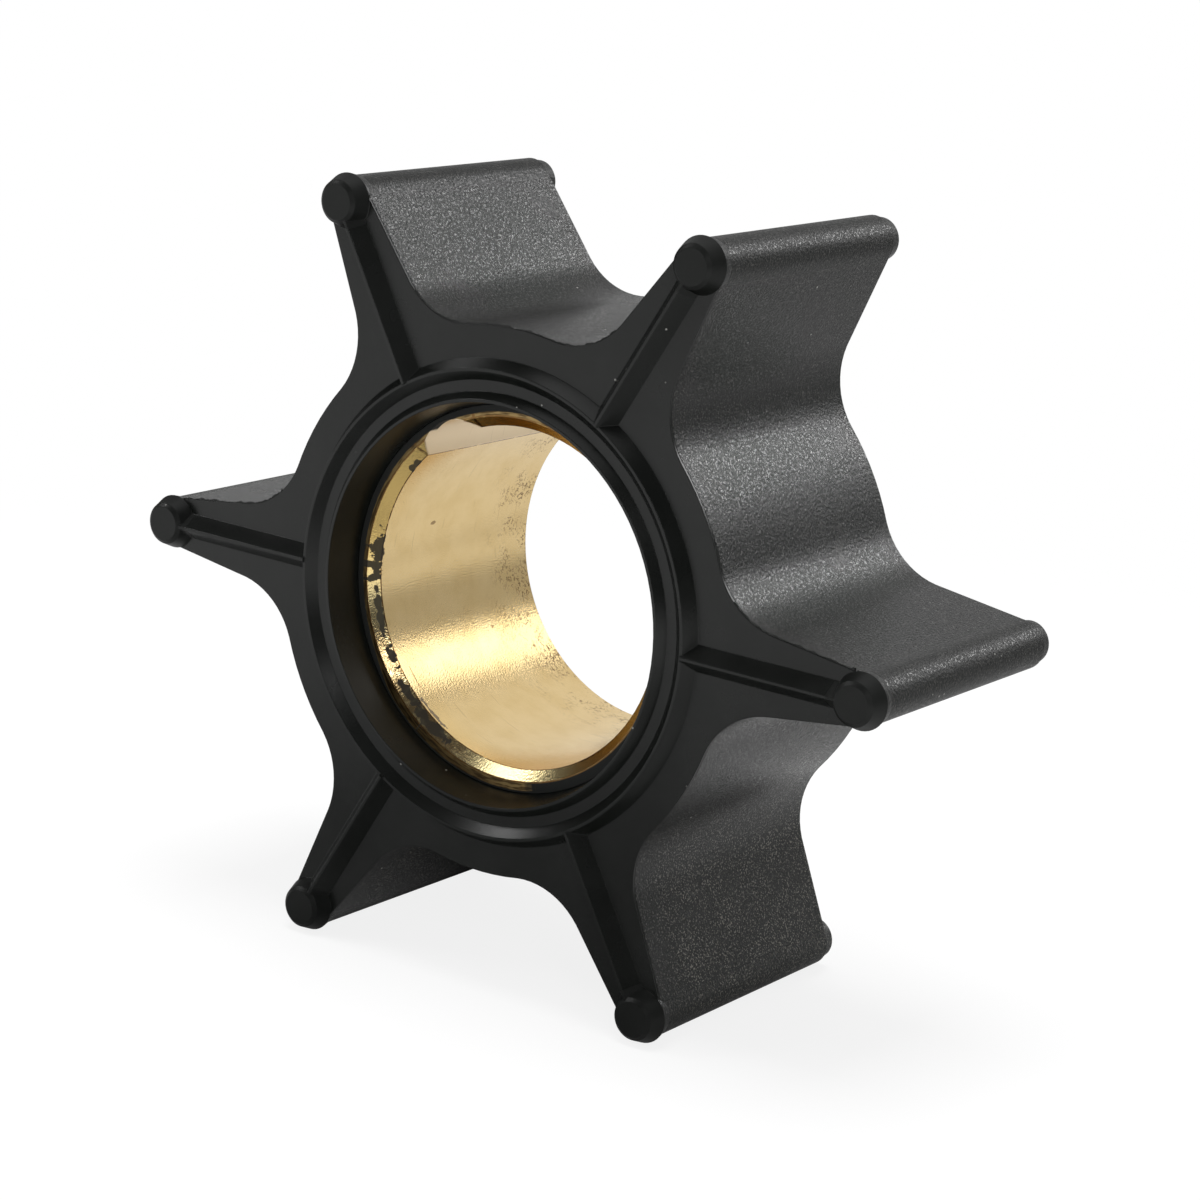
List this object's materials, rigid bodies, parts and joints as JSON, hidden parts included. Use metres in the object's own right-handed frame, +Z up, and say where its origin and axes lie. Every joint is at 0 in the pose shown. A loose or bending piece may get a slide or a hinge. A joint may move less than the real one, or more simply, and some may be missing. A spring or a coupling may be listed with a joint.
{
  "type": "pump impeller",
  "caption": "Flexible vane pump impeller: a rubber star moulded on a keyed brass bush, with round tip bosses and low sealing ridges on both faces.",
  "frame": {"origin": "on the bore axis, halfway between the two end faces of the body", "axes": "+Y along the bore axis, from the face seen in the picture to the other face; +Z up as it stands on two vane tips; +X to the right seen from the front"},
  "size_m": [0.0582, 0.0216, 0.051],
  "materials": {
    "rubber": "moulded black rubber, satin with a fine grain on the sides and smoother on the end faces",
    "brass": "bored brass, satin, a little tarnished, with rubber smears on the chamfer"
  },
  "bodies": {
    "root": {"impeller_body": "rubber", "bush": "brass"}
  },
  "joints": []
}
